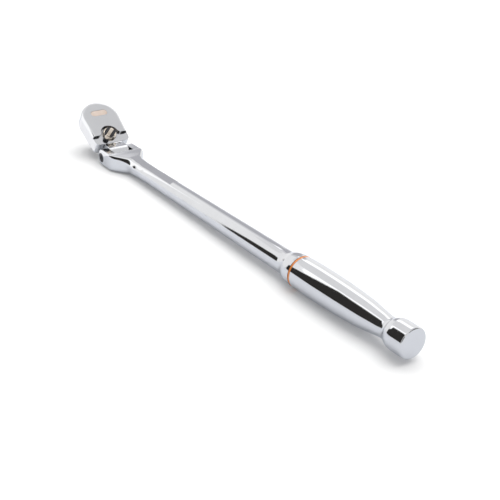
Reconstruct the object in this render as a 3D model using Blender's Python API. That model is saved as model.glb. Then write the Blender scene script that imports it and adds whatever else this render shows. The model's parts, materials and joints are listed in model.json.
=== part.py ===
"""Flex-head teardrop ratchet wrench, half-inch square drive, laid down with its head tilted up.

Two working frames are used, both carried by empties:
  handle frame: X along the handle from the knob's end face to the flex pin, Y to the left, Z up.
  head frame:   U from the flex pin to the head's tip, V to the left, H out of the top face.
Lengths in the constants are millimetres and MM turns them into metres.
"""
import math

import bmesh
import bpy
from mathutils import Matrix, Vector

MM = 0.001
GAP = 0.3                      # clearance left between neighbouring pieces

# Handle, measured along its axis from the knob's end face.
PIN_X = 404.0
KNOB_RADIUS = 11.75
KNOB_EDGE = 1.3                # rounding of the knob's end face
KNOB_BACK = ((12.5, 11.75), (15.5, 11.45), (18.3, 10.5), (20.4, 9.2), (22.0, 8.65))
GRIP_RADIUS = 13.2
GRIP_FATTEST_X = 101.0
BAND_X = 118.8
BAND_WIDTH = 2.4
BAND_RADIUS = 12.75
BAND_DEPTH = 1.1
SHANK_RADIUS = 8.1

CORNER_STEPS = 8               # points on each quarter of the handle's section

# Fork at the far end of the shank.
FORK_HALF_WIDTH = 17.3
FORK_HALF_HEIGHT = 7.8
EAR_HALF_HEIGHT = 7.4
EAR_NOSE = 6.3                 # how far the ears run past the pin
EAR_NOSE_RADIUS = 5.5
SLOT_DEPTH = 13.5              # slot root, measured back from the pin
SLOT_HALF_WIDTH = 9.6
PANEL_START_X = 300.0          # flat milled along the top of the shank, up to the fork
PANEL_END = 46.0               # measured back from the pin
PANEL_HEIGHT = 6.9
PIN_RADIUS = 4.0
WASHER_RADIUS = 6.4
PLUNGER_RADIUS = 2.2
PLUNGER_BORE_END = 32.0        # measured back from the pin

# Head, measured from the flex pin.
HEAD_TILT = math.radians(32.5)  # upward tilt of the head against the handle, as laid down
TANG_RADIUS = 8.2
TANG_HALF_WIDTH = 9.3
NECK_U = 10.3                  # where the tang's top comes down to the lower flat
HEAD_REAR_U = 11.5
HEAD_REAR_HALF_WIDTH = 17.4
HEAD_RADIUS = 18.9
GEAR_U = 41.5
HEAD_TOP = 6.6
HEAD_BOTTOM = -8.6
HEAD_BOTTOM_EDGE = 1.7
STEP_TOP = 4.2                 # level of the lower flat around the lever
STEP_U = 20.5
RECESS_RADIUS = 8.7            # round bay in the step's wall, about the lever
RECESS_FLARE = 4.0             # radius on which the bay's wall turns out into the step
TANG_FIRST = math.radians(64)  # where the neck's top meets the tang's barrel
TANG_LAST = math.radians(-82)  # where its underside does

# Mechanism inside the head.
LEVER_U = 21.4
LEVER_RADIUS = 6.5
LEVER_TAIL = 10.6
LEVER_TAIL_HALF_WIDTH = 2.7
LEVER_ANGLE = math.radians(131.0)   # where the tail points at rest, from the U axis
POCKET_TOP = 1.2
COVER_THICKNESS = 2.0
COVER_INSET = 2.6
TEETH = 36
GEAR_TIP_RADIUS = 11.6
GEAR_ROOT_RADIUS = 10.5
GEAR_LOW = -4.6
GEAR_HIGH = 0.8
HUB_RADIUS = 9.6
PILOT_RADIUS = 6.0
ANVIL_SIDE = 12.7
ANVIL_END = -23.5
ANVIL_BALL_H = -17.0
ANVIL_BALL_RADIUS = 2.0
PAWL_U = 27.3
PAWL_SWING = math.radians(6.0)
PAWL_LOW = -4.2
PAWL_HIGH = 0.6
PAWL_PIN_RADIUS = 1.0
MECHANISM_H = -1.8             # mid height of the pawl and of the selector's plunger
SELECTOR_RADIUS = 2.9
BADGE_U = 46.5
BADGE_HALF_LENGTH = 7.5
BADGE_HALF_WIDTH = 2.6
GEAR_POCKET_RADIUS = 12.1
SELECTOR_POCKET_RADIUS = 4.4
SELECTOR_NECK_RADIUS = 2.6
SCREW_HEAD_RADIUS = 1.9
SCREW_RADIUS = 1.2
SCREW_PLACES = ((16.8, 10.4), (16.8, -10.4), (51.7, 10.2), (51.7, -10.2))

CHROME = ("polished_chrome", (0.80, 0.80, 0.81), 0.06, 1.0)
NICKEL = ("warm_nickel", (0.62, 0.55, 0.46), 0.18, 1.0)
DARK_STEEL = ("dark_steel", (0.10, 0.10, 0.11), 0.35, 1.0)
TOOL_STEEL = ("tool_steel", (0.42, 0.42, 0.44), 0.30, 1.0)
SPRING_STEEL = ("spring_steel", (0.50, 0.50, 0.52), 0.25, 1.0)
ORANGE = ("orange_enamel", (0.90, 0.27, 0.04), 0.35, 0.0)

ALONG = (0.0, math.radians(90), 0.0)     # turns a piece made along Z to lie along X
ACROSS = (math.radians(90), 0.0, 0.0)    # turns it to lie along Y
REACH = 30.0                             # cutters run this far past what they cut


# ---------------------------------------------------------------- small helpers

def make_material(look):
    """The material of a look, made once."""
    name, colour, roughness, metallic = look
    material = bpy.data.materials.get(name)
    if material is None:
        material = bpy.data.materials.new(name)
        material.use_nodes = True
        shader = material.node_tree.nodes["Principled BSDF"]
        shader.inputs["Base Color"].default_value = (*colour, 1.0)
        shader.inputs["Roughness"].default_value = roughness
        shader.inputs["Metallic"].default_value = metallic
    return material


def make_object(name, shape, look, parent, place=(0.0, 0.0, 0.0), turn=(0.0, 0.0, 0.0)):
    """Turn a bmesh in millimetres into a named object under a parent."""
    shape.transform(Matrix.Scale(MM, 4))
    bmesh.ops.recalc_face_normals(shape, faces=shape.faces)
    mesh = bpy.data.meshes.new(name)
    shape.to_mesh(mesh)
    shape.free()
    mesh.shade_smooth()
    mesh.set_sharp_from_angle(angle=math.radians(16))
    piece = bpy.data.objects.new(name, mesh)
    bpy.context.scene.collection.objects.link(piece)
    piece.parent = parent
    piece.location = Vector(place) * MM
    piece.rotation_euler = turn
    if look is not None:
        mesh.materials.append(make_material(look))
    return piece


def make_cutter(name, shape, parent, place=(0.0, 0.0, 0.0), turn=(0.0, 0.0, 0.0)):
    """A hidden object that a boolean modifier cuts or joins with."""
    cutter = make_object("cutter_" + name, shape, None, parent, place, turn)
    cutter.hide_render = True
    cutter.display_type = "WIRE"
    return cutter


def combine(piece, other, operation="DIFFERENCE"):
    """Cut one object from another, or join them."""
    boolean = piece.modifiers.new(other.name, "BOOLEAN")
    boolean.object = other
    boolean.operation = operation
    boolean.solver = "EXACT"


def make_empty(name, parent=None, place=(0.0, 0.0, 0.0), turn=(0.0, 0.0, 0.0)):
    """A frame of reference that pieces hang from."""
    empty = bpy.data.objects.new(name, None)
    bpy.context.scene.collection.objects.link(empty)
    empty.parent = parent
    empty.location = Vector(place) * MM
    empty.rotation_euler = turn
    return empty


# ---------------------------------------------------------------- shape makers, in millimetres

def loft(rings):
    """Skin closed rings of equal point count and cap both ends."""
    shape = bmesh.new()
    rows = [[shape.verts.new(point) for point in ring] for ring in rings]
    count = len(rows[0])
    for row, following in zip(rows, rows[1:]):
        for i in range(count):
            j = (i + 1) % count
            shape.faces.new((row[i], row[j], following[j], following[i]))
    shape.faces.new(rows[0])
    shape.faces.new(rows[-1])
    return shape


def prism(outline, low, high):
    """Extrude a U,V outline between two heights."""
    return loft([[(u, v, h) for u, v in outline] for h in (low, high)])


def circle(radius, count=32, centre=(0.0, 0.0)):
    """Points round a circle."""
    return arc(centre, radius, 0.0, 2 * math.pi * (count - 1) / count, count - 1)


def arc(centre, radius, first, last, steps):
    """Points from one angle to another about a centre."""
    angles = [first + (last - first) * k / steps for k in range(steps + 1)]
    return [(centre[0] + radius * math.cos(a), centre[1] + radius * math.sin(a)) for a in angles]


def cylinder(radius, low, high, count=32, centre=(0.0, 0.0)):
    """Upright cylinder between two heights."""
    return prism(circle(radius, count, centre), low, high)


def turned(profile, count=32):
    """Revolve (radius, height) stations about the H axis, capped at both ends."""
    return loft([[(x, y, h) for x, y in circle(r, count)] for r, h in profile])


def box(low, high):
    """Block between two corners."""
    corners = [(low[0], low[1]), (high[0], low[1]), (high[0], high[1]), (low[0], high[1])]
    return prism(corners, low[2], high[2])


def ring_solid(inner, outer, low, high, count=32):
    """Flat washer about the H axis."""
    shape = bmesh.new()
    stations = ((inner, low), (outer, low), (outer, high), (inner, high))
    rows = [[shape.verts.new((x, y, h)) for x, y in circle(r, count)] for r, h in stations]
    for row, following in zip(rows, rows[1:] + rows[:1]):
        for i in range(count):
            j = (i + 1) % count
            shape.faces.new((row[i], row[j], following[j], following[i]))
    return shape


def coil(radius, wire, length, turns, steps=10, sides=6):
    """Compression spring along H, from 0 to length."""
    rise = length - 2 * wire
    rings = []
    for k in range(turns * steps + 1):
        angle = 2 * math.pi * k / steps
        out = Vector((math.cos(angle), math.sin(angle), 0.0))
        centre = out * radius + Vector((0.0, 0.0, wire + rise * k / (turns * steps)))
        ring = []
        for s in range(sides):
            lean = 2 * math.pi * s / sides
            ring.append(centre + out * wire * math.cos(lean) + Vector((0, 0, wire * math.sin(lean))))
        rings.append(ring)
    return loft(rings)


def smooth_curve(points, count):
    """Even samples of a Catmull-Rom curve through (position, value) points."""
    samples = []
    for k in range(count):
        travel = k / (count - 1) * (len(points) - 1)
        i = min(int(travel), len(points) - 2)
        t = travel - i
        p0 = points[max(i - 1, 0)]
        p1, p2 = points[i], points[i + 1]
        p3 = points[min(i + 2, len(points) - 1)]
        samples.append(tuple(
            0.5 * (2 * b + (c - a) * t + (2 * a - 5 * b + 4 * c - d) * t ** 2
                   + (3 * b - a - 3 * c + d) * t ** 3)
            for a, b, c, d in zip(p0, p1, p2, p3)))
    return samples


# ---------------------------------------------------------------- handle side

def section(x, half_width, half_height, corner, per_corner=CORNER_STEPS):
    """Rounded rectangle across the handle; a circle when all three sizes are equal."""
    points = []
    for quarter in range(4):
        side_y = 1 if quarter in (0, 3) else -1
        side_z = 1 if quarter in (0, 1) else -1
        for k in range(per_corner):
            angle = math.radians(90) * (quarter + (k + 0.5) / per_corner)
            points.append((x, side_y * (half_width - corner) + corner * math.cos(angle),
                           side_z * (half_height - corner) + corner * math.sin(angle)))
    return points


def handle_stations():
    """(x, half_width, half_height, corner) stations from the knob's end face to the ears' nose."""
    stations = []
    for k in range(5):
        angle = math.radians(90) * k / 4
        radius = KNOB_RADIUS - KNOB_EDGE * (1 - math.sin(angle))
        stations.append((KNOB_EDGE * (1 - math.cos(angle)), radius))
    stations += smooth_curve(KNOB_BACK, 11)
    grip = [(23.6, 8.5), (26.0, 8.45), (30.0, 8.9), (37.5, 9.9), (46.0, 11.0), (56.0, 11.8),
            (72.0, 12.65), (88.0, 13.05), (GRIP_FATTEST_X, GRIP_RADIUS), (112.0, 13.0)]
    stations += smooth_curve(grip, 20)
    stations += [(BAND_X - BAND_WIDTH, 12.9), (BAND_X + BAND_WIDTH, 12.65)]
    shoulder = [(125.0, 12.5), (128.5, 12.05), (131.5, 10.95), (134.5, 9.95), (138.5, 9.5)]
    stations += smooth_curve(shoulder, 11)
    stations += [(150.0, 9.4), (160.0, 9.3), (200.0, 9.0), (240.0, 8.7), (290.0, 8.35),
                 (PIN_X - 68.0, SHANK_RADIUS)]
    rounds = [(x, r, r, r) for x, r in stations]
    fork = [(-58.0, 8.15, 8.05, 8.0), (-50.0, 8.2, 8.0, 7.9), (-43.0, 8.5, 8.0, 7.4),
            (-38.0, 9.1, 7.95, 6.0), (-33.0, 10.7, 7.9, 4.8), (-28.0, 13.3, 7.85, 4.0),
            (-24.0, 15.4, FORK_HALF_HEIGHT, 3.4), (-19.5, 16.8, FORK_HALF_HEIGHT, 2.6)]
    blend = [(PIN_X + x, w, z, c) for x, w, z, c in smooth_curve(fork, 15)]
    step = PIN_X - SLOT_DEPTH
    ears = [(step - 1.0, FORK_HALF_WIDTH, FORK_HALF_HEIGHT, 1.8),
            (step, FORK_HALF_WIDTH, EAR_HALF_HEIGHT, 1.6)]
    nose_centre = EAR_NOSE - EAR_NOSE_RADIUS
    for k in range(7):
        angle = math.radians(88) * k / 6
        height = EAR_HALF_HEIGHT - EAR_NOSE_RADIUS * (1 - math.cos(angle))
        ears.append((PIN_X + nose_centre + EAR_NOSE_RADIUS * math.sin(angle),
                     FORK_HALF_WIDTH - 0.9 * (1 - math.cos(angle)), height, min(1.6, height * 0.8)))
    return rounds + blend + ears


def make_handle(frame):
    """The handle forging with its fork, machined for the pin, the plunger and the band."""
    shape = loft([section(*station) for station in handle_stations()])
    handle = make_object("handle", shape, CHROME, frame)
    slot = box((PIN_X - SLOT_DEPTH, -SLOT_HALF_WIDTH, -REACH), (PIN_X + REACH, SLOT_HALF_WIDTH, REACH))
    combine(handle, make_cutter("fork_slot", slot, frame))
    bore = cylinder(PIN_RADIUS + GAP, -REACH, REACH, 28)
    combine(handle, make_cutter("pin_bore", bore, frame, (PIN_X, 0.0, 0.0), ACROSS))
    bore = cylinder(PLUNGER_RADIUS + GAP, -PLUNGER_BORE_END, -SLOT_DEPTH + 2.0, 20)
    combine(handle, make_cutter("plunger_bore", bore, frame, (PIN_X, 0.0, 0.0), ALONG))
    panel = box((PANEL_START_X, -REACH, PANEL_HEIGHT), (PIN_X - PANEL_END, REACH, REACH))
    combine(handle, make_cutter("shank_panel", panel, frame))
    groove = ring_solid(BAND_RADIUS - BAND_DEPTH, BAND_RADIUS + 4.0, -BAND_WIDTH / 2, BAND_WIDTH / 2, 36)
    combine(handle, make_cutter("band_groove", groove, frame, (BAND_X, 0.0, 0.0), ALONG))
    return handle


def make_handle_fittings(frame):
    """Band, cross pin, washers, and the sprung plunger that holds the head's angle."""
    half = BAND_WIDTH / 2 - GAP
    band = ring_solid(BAND_RADIUS - BAND_DEPTH + GAP, BAND_RADIUS, -half, half, 36)
    make_object("grip_band", band, ORANGE, frame, (BAND_X, 0.0, 0.0), ALONG)
    end = FORK_HALF_WIDTH - 0.2
    chamfer = 0.5
    pin = turned([(PIN_RADIUS - chamfer, -end), (PIN_RADIUS, chamfer - end),
                  (PIN_RADIUS, end - chamfer), (PIN_RADIUS - chamfer, end)], 28)
    make_object("flex_pin", pin, DARK_STEEL, frame, (PIN_X, 0.0, 0.0), ACROSS)
    for name, side in (("flex_washer_left", 1), ("flex_washer_right", -1)):
        washer = ring_solid(PIN_RADIUS + GAP, WASHER_RADIUS, -0.25, 0.25, 28)
        place = (PIN_X, side * (TANG_HALF_WIDTH + 0.15 - 0.5), 0.0)
        make_object(name, washer, SPRING_STEEL, frame, place, ACROSS)
    plunger_tip = TANG_RADIUS + GAP
    plunger = turned([(PLUNGER_RADIUS, -21.0), (PLUNGER_RADIUS, -plunger_tip - 1.6),
                      (PLUNGER_RADIUS * 0.86, -plunger_tip - 0.8),
                      (PLUNGER_RADIUS * 0.45, -plunger_tip - 0.1),
                      (PLUNGER_RADIUS * 0.10, -plunger_tip)], 20)
    make_object("flex_plunger", plunger, TOOL_STEEL, frame, (PIN_X, 0.0, 0.0), ALONG)
    spring = coil(1.6, 0.3, 10.1, 6)
    place = (PIN_X - PLUNGER_BORE_END + GAP, 0.0, 0.0)
    make_object("flex_spring", spring, SPRING_STEEL, frame, place, ALONG)


# ---------------------------------------------------------------- head side

def teardrop(inset=0.0, tip_steps=26, corner_steps=5):
    """Outline of the head: a round tip, straight flanks and rounded rear corners."""
    radius = HEAD_RADIUS - inset
    rear_u = HEAD_REAR_U + inset
    rear_v = HEAD_REAR_HALF_WIDTH - inset
    corner = 4.0 - 0.6 * inset
    span = math.hypot(rear_u - GEAR_U, rear_v)
    tangent = math.atan2(rear_v, rear_u - GEAR_U) - math.acos(radius / span)
    points = []
    for k in range(tip_steps + 1):
        angle = -tangent + 2 * tangent * k / tip_steps
        points.append((GEAR_U + radius * math.cos(angle), radius * math.sin(angle)))
    first = math.atan2(points[-1][0] - rear_u, rear_v - points[-1][1])
    centre_v = rear_v - corner
    for k in range(corner_steps + 1):
        angle = first + (math.pi - first) * k / corner_steps
        points.append((rear_u + corner * (1 + math.cos(angle)), centre_v + corner * math.sin(angle)))
    mirrored = [(u, -v) for u, v in reversed(points[-(corner_steps + 1):])]
    return points + mirrored


def step_outline(steps=8):
    """The lower flat: all that lies behind the step, with a round bay about the lever."""
    flare_u = STEP_U + RECESS_FLARE
    flare_v = math.sqrt((RECESS_RADIUS + RECESS_FLARE) ** 2 - (flare_u - LEVER_U) ** 2)
    lean = math.atan2(flare_v, flare_u - LEVER_U)
    left = [(-REACH, REACH), (STEP_U, REACH)]
    left += arc((flare_u, flare_v), RECESS_FLARE, math.pi, math.pi + lean, steps)
    bay = arc((LEVER_U, 0.0), RECESS_RADIUS, lean, -lean, 3 * steps)
    return left + bay[1:-1] + [(u, -v) for u, v in reversed(left)]


def make_housing(frame):
    """The head's forging with its lower flat, hinge tang and the pockets for the mechanism."""
    levels = ((HEAD_BOTTOM, HEAD_BOTTOM_EDGE), (HEAD_BOTTOM + 0.5, 0.7),
              (HEAD_BOTTOM + HEAD_BOTTOM_EDGE, 0.0), (4.1, 0.0),
              (5.2, 0.6), (6.1, 1.7), (HEAD_TOP, 3.3))
    shape = loft([[(u, v, h) for u, v in teardrop(inset)] for h, inset in levels])
    housing = make_object("head_housing", shape, CHROME, frame)

    combine(housing, make_cutter("lower_flat", prism(step_outline(), STEP_TOP, REACH), frame))
    blade = loft([[(u, v, h) for u, h in tang_profile()] for v in (-TANG_HALF_WIDTH, TANG_HALF_WIDTH)])
    combine(housing, make_cutter("tang_blade", blade, frame), "UNION")

    cuts = {
        "cover_seat": prism(teardrop(COVER_INSET - GAP), -REACH, HEAD_BOTTOM + COVER_THICKNESS + GAP),
        "gear_pocket": cylinder(GEAR_POCKET_RADIUS, -REACH, POCKET_TOP, 40, (GEAR_U, 0.0)),
        "pilot_bore": cylinder(PILOT_RADIUS + GAP, -REACH, 4.0, 32, (GEAR_U, 0.0)),
        "pawl_pocket": prism(pocket_outline(), -REACH, POCKET_TOP),
        "selector_pocket": cylinder(SELECTOR_POCKET_RADIUS, -REACH, POCKET_TOP, 28, (LEVER_U, 0.0)),
        "selector_bore": cylinder(SELECTOR_NECK_RADIUS + GAP, -REACH, REACH, 28, (LEVER_U, 0.0)),
        "pawl_pin_hole": cylinder(PAWL_PIN_RADIUS + GAP, 0.0, 2.6, 16, (PAWL_U, 0.0)),
        "badge_seat": prism(badge_outline(GAP), HEAD_TOP - 0.7, REACH),
    }
    for name, shape in cuts.items():
        combine(housing, make_cutter(name, shape, frame))
    for number, (u, v) in enumerate(SCREW_PLACES, 1):
        hole = cylinder(SCREW_RADIUS + GAP, -REACH, -1.0, 16, (u, v))
        combine(housing, make_cutter(f"screw_hole_{number}", hole, frame))
    pin_bore = cylinder(PIN_RADIUS + GAP, -REACH, REACH, 28)
    combine(housing, make_cutter("tang_bore", pin_bore, frame, turn=ACROSS))
    for number, side in enumerate((1, -1), 1):
        seat = cylinder(WASHER_RADIUS + GAP, 0.0, 3.0, 28)
        place = (0.0, side * (TANG_HALF_WIDTH + 0.55) + 1.5, 0.0)
        combine(housing, make_cutter(f"washer_seat_{number}", seat, frame, place, ACROSS))
    return housing


def tang_profile(steps=24):
    """Side view of the tang: a barrel about the pin, with a neck low enough for the lever's tail."""
    root_u = HEAD_REAR_U + 2.0
    neck = [(root_u + 1.0, STEP_TOP - 0.3), (NECK_U, STEP_TOP - 0.1)]
    barrel = arc((0.0, 0.0), TANG_RADIUS, TANG_FIRST, TANG_LAST + 2 * math.pi, steps)
    return neck + barrel + [(root_u + 1.0, HEAD_BOTTOM + 1.6)]


def pocket_outline(outer=17.2, inner=9.0, half_angle=62.0, steps=16):
    """Annular sector behind the gear in which the pawl rocks."""
    low, high = math.radians(180 - half_angle), math.radians(180 + half_angle)
    centre = (GEAR_U, 0.0)
    return arc(centre, outer, low, high, steps) + arc(centre, inner, high, low, steps)


def gear_outline(clearance=0.0):
    """Radii of straight-sided ratchet teeth, even in both directions."""
    points = []
    pitch = 2 * math.pi / TEETH
    land = 0.13 + clearance / GEAR_TIP_RADIUS / pitch * 1.1
    for tooth in range(TEETH):
        for share, radius in ((-0.5 + 0.08, GEAR_ROOT_RADIUS), (-land, GEAR_TIP_RADIUS),
                              (land, GEAR_TIP_RADIUS), (0.5 - 0.08, GEAR_ROOT_RADIUS)):
            if abs(share) > 0.2:
                share = math.copysign(min(abs(share) + clearance * 0.02, 0.46), share)
            angle = (tooth + 0.5 + share) * pitch
            points.append(((radius + clearance) * math.cos(angle), (radius + clearance) * math.sin(angle)))
    return points


def make_drive_gear(frame):
    """Toothed gear with its hub, pilot and square in one, and the square's sprung ball."""
    shape = prism(gear_outline(), GEAR_LOW, GEAR_HIGH)
    gear = make_object("drive_gear", shape, CHROME, frame)
    hub = turned([(HUB_RADIUS, -8.4), (HUB_RADIUS, GEAR_LOW + 0.5)], 40)
    combine(gear, make_cutter("gear_hub", hub, frame), "UNION")
    pilot = turned([(PILOT_RADIUS, GEAR_HIGH - 0.5), (PILOT_RADIUS, 3.1), (PILOT_RADIUS - 0.5, 3.6)], 32)
    combine(gear, make_cutter("gear_pilot", pilot, frame), "UNION")
    half = ANVIL_SIDE / 2
    stations = ((-8.0, half, 1.0), (ANVIL_END + 1.4, half, 1.0), (ANVIL_END, half - 1.1, 0.8))
    rings = [[(y, z, h) for _, y, z in section(0.0, side, side, corner, 2)]
             for h, side, corner in stations]
    combine(gear, make_cutter("anvil_square", loft(rings), frame), "UNION")
    across = (math.radians(-90), 0.0, 0.0)
    bore = cylinder(ANVIL_BALL_RADIUS + GAP, -2.6, 10.0, 20)
    combine(gear, make_cutter("ball_bore", bore, frame, (0.0, 0.0, ANVIL_BALL_H), across))
    ball = bmesh.new()
    bmesh.ops.create_uvsphere(ball, u_segments=20, v_segments=12, radius=ANVIL_BALL_RADIUS)
    ball_centre = half - 1.0
    make_object("anvil_ball", ball, SPRING_STEEL, frame, (0.0, ball_centre, ANVIL_BALL_H), across)
    spring = coil(1.3, 0.25, ball_centre - ANVIL_BALL_RADIUS + 2.6 - 2 * GAP, 4)
    make_object("anvil_spring", spring, SPRING_STEEL, frame, (0.0, -2.6 + GAP, ANVIL_BALL_H), across)
    return gear


def pawl_outline(steps=12):
    """Crescent that wraps the gear, about the pawl's own pin."""
    centre = GEAR_U - PAWL_U
    points = []
    for k in range(2 * steps + 1):
        angle = math.radians(-50 + 100 * k / (2 * steps))
        taper = abs(angle) / math.radians(50)
        radius = 16.3 - 0.9 * taper ** 2
        points.append((centre - radius * math.cos(angle), radius * math.sin(angle)))
    for k in range(2 * steps + 1):
        angle = math.radians(50 - 100 * k / (2 * steps))
        radius = 11.0 if abs(angle) > math.radians(27) else 12.4
        points.append((centre - radius * math.cos(angle), radius * math.sin(angle)))
    return points


def make_pawl(frame):
    """Two-ended pawl, its teeth cut clear of the gear at both ends of its rock, and its pin."""
    shape = prism(pawl_outline(), PAWL_LOW, PAWL_HIGH)
    pawl = make_object("direction_pawl", shape, TOOL_STEEL, frame, turn=(0.0, 0.0, PAWL_SWING))
    reach = GEAR_U - PAWL_U
    for name, swing in (("right", -PAWL_SWING), ("left", PAWL_SWING)):
        shape = prism(gear_outline(GAP), -9.0, 9.0)
        place = (reach * math.cos(swing), reach * math.sin(swing), 0.0)
        combine(pawl, make_cutter("teeth_" + name, shape, pawl, place, (0.0, 0.0, swing)))
    combine(pawl, make_cutter("pawl_eye", cylinder(PAWL_PIN_RADIUS + GAP, -9.0, 9.0, 16), pawl))
    scoop = cylinder(3.8, -9.0, 9.0, 28, (LEVER_U - PAWL_U, 0.0))
    combine(pawl, make_cutter("pawl_scoop", scoop, pawl))
    pin = turned([(PAWL_PIN_RADIUS, -6.0), (PAWL_PIN_RADIUS, 2.3)], 16)
    make_object("pawl_pin", pin, TOOL_STEEL, frame)


def lever_outline(scale, tail, hub_steps=30, tail_steps=8):
    """Round hub with a blunt finger tail along +U that ends at the given reach."""
    hub = LEVER_RADIUS * scale
    half_width = min(LEVER_TAIL_HALF_WIDTH, hub * 0.8)
    root = math.asin(half_width / hub)
    end = max(tail, hub * math.cos(root) + half_width)
    points = []
    for k in range(hub_steps + 1):
        angle = root + (2 * math.pi - 2 * root) * k / hub_steps
        points.append((hub * math.cos(angle), hub * math.sin(angle)))
    for k in range(1, tail_steps):
        angle = math.radians(-90 + 180 * k / tail_steps)
        points.append((end - half_width * (1 - math.cos(angle)), half_width * math.sin(angle)))
    return points


def make_lever(frame):
    """Reversing lever, its shaft, and the sprung plunger that rocks the pawl."""
    base = STEP_TOP + GAP
    levels = ((base, 0.96, LEVER_TAIL - 0.3), (base + 0.5, 1.0, LEVER_TAIL), (base + 1.6, 1.0, LEVER_TAIL),
              (base + 2.5, 0.93, 9.6), (base + 3.2, 0.78, 8.4), (base + 3.6, 0.55, 7.0))
    shape = loft([[(u, v, h) for u, v in lever_outline(scale, tail)] for h, scale, tail in levels])
    lever = make_object("reversing_lever", shape, NICKEL, frame)
    for name, side in (("left", 1), ("right", -1)):
        groove = cylinder(1.5, -14.0, 14.0, 20)
        place = (0.0, side * 3.1, base + 3.8)
        combine(lever, make_cutter("thumb_groove_" + name, groove, frame, place, ALONG))
    combine(lever, make_cutter("lever_bore", cylinder(2.0 + GAP, 0.0, base + 1.8, 20), frame))

    shape = turned([(SELECTOR_RADIUS, -6.0), (SELECTOR_RADIUS, 0.7), (SELECTOR_NECK_RADIUS, 0.71),
                    (SELECTOR_NECK_RADIUS, base - 0.01), (2.0, base), (2.0, base + 1.5)], 28)
    selector = make_object("selector_shaft", shape, TOOL_STEEL, frame)
    forward = (0.0, math.radians(-90), 0.0)
    bore = cylinder(0.8 + GAP, -1.6, 8.0, 14)
    combine(selector, make_cutter("selector_bore_side", bore, frame, (0.0, 0.0, MECHANISM_H), forward))
    tip = 3.5
    plunger = turned([(0.8, 0.8), (0.8, tip - 0.5), (0.5, tip - 0.1), (0.1, tip)], 14)
    make_object("selector_plunger", plunger, TOOL_STEEL, frame, (0.0, 0.0, MECHANISM_H), forward)
    spring = coil(0.5, 0.14, 1.8, 3, 8, 5)
    make_object("selector_spring", spring, SPRING_STEEL, frame, (1.3, 0.0, MECHANISM_H), forward)


def make_cover(frame):
    """Cover plate with its countersunk screws."""
    top = HEAD_BOTTOM + COVER_THICKNESS
    cover = make_object("cover_plate", prism(teardrop(COVER_INSET), HEAD_BOTTOM, top), TOOL_STEEL, frame)
    hub_hole = cylinder(HUB_RADIUS + GAP, -REACH, 0.0, 40, (GEAR_U, 0.0))
    combine(cover, make_cutter("hub_hole", hub_hole, frame))
    for number, (u, v) in enumerate(SCREW_PLACES, 1):
        seat, shaft = SCREW_HEAD_RADIUS + GAP, SCREW_RADIUS + GAP
        hole = turned([(seat, HEAD_BOTTOM - 1.0), (seat, HEAD_BOTTOM + 0.15),
                       (shaft, HEAD_BOTTOM + 1.0), (shaft, 0.0)], 16)
        combine(cover, make_cutter(f"countersink_{number}", hole, frame, (u, v, 0.0)))
        screw = turned([(SCREW_HEAD_RADIUS, HEAD_BOTTOM + 0.05), (SCREW_HEAD_RADIUS, HEAD_BOTTOM + 0.15),
                        (SCREW_RADIUS, HEAD_BOTTOM + 1.0), (SCREW_RADIUS, -1.6)], 16)
        make_object(f"cover_screw_{number}", screw, DARK_STEEL, frame, (u, v, 0.0))


def make_head_trim(frame):
    """Thrust washer above the cover and the plain bar in the top face."""
    washer = ring_solid(HUB_RADIUS + GAP, 11.6, HEAD_BOTTOM + COVER_THICKNESS + GAP, GEAR_LOW - GAP, 36)
    make_object("thrust_washer", washer, SPRING_STEEL, frame, (GEAR_U, 0.0, 0.0))
    badge = prism(badge_outline(), HEAD_TOP - 0.4, HEAD_TOP)
    make_object("badge_inlay", badge, ORANGE, frame)


def badge_outline(clearance=0.0):
    """Rounded bar across the top face."""
    length = BADGE_HALF_LENGTH + clearance
    width = BADGE_HALF_WIDTH + clearance
    return [(BADGE_U + z, y) for _, y, z in section(0.0, length, width, width - 0.1, 5)]


# ---------------------------------------------------------------- assembly

def build():
    """Clear the file, work out how the tool lies, and make every piece."""
    for old in list(bpy.data.objects):
        bpy.data.objects.remove(old, do_unlink=True)

    # The tool rests on the grip's fattest ring and on the tang's barrel.
    ring_bottom = GRIP_RADIUS * math.cos(math.radians(45) / CORNER_STEPS)
    droop = math.atan2(ring_bottom - TANG_RADIUS, PIN_X - GRIP_FATTEST_X)
    height = ring_bottom * math.cos(droop) + GRIP_FATTEST_X * math.sin(droop)
    tilt = HEAD_TILT - droop
    front = (PIN_X * math.cos(droop) + (GEAR_U + HEAD_RADIUS) * math.cos(tilt)
             - (HEAD_BOTTOM + HEAD_BOTTOM_EDGE) * math.sin(tilt))
    rear = -(KNOB_RADIUS - KNOB_EDGE) * math.sin(droop)
    handle_frame = make_empty("handle_axis", None, (-(front + rear) / 2, 0.0, height), (0.0, droop, 0.0))
    head_frame = make_empty("flex_axis", handle_frame, (PIN_X, 0.0, 0.0), (0.0, -HEAD_TILT, 0.0))
    gear_frame = make_empty("drive_axis", head_frame, (GEAR_U, 0.0, 0.0))
    lever_frame = make_empty("lever_axis", head_frame, (LEVER_U, 0.0, 0.0), (0.0, 0.0, LEVER_ANGLE))
    pawl_frame = make_empty("pawl_axis", head_frame, (PAWL_U, 0.0, 0.0))

    make_handle(handle_frame)
    make_handle_fittings(handle_frame)
    make_housing(head_frame)
    make_drive_gear(gear_frame)
    make_pawl(pawl_frame)
    make_lever(lever_frame)
    make_cover(head_frame)
    make_head_trim(head_frame)


build()
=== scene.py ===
"""Flex-head ratchet wrench in polished chrome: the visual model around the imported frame.

Pieces are shaped in millimetres in the frame of their own sub-assembly, then set into the row
frame in metres, so a finished piece sits at the origin with its place in its mesh.
"""
import json
import logging
import math
from dataclasses import dataclass, field
from enum import Enum
from typing import Callable, Iterable, Optional, Sequence, Union

import bmesh
import bpy
from mathutils import Matrix, Vector


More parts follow.
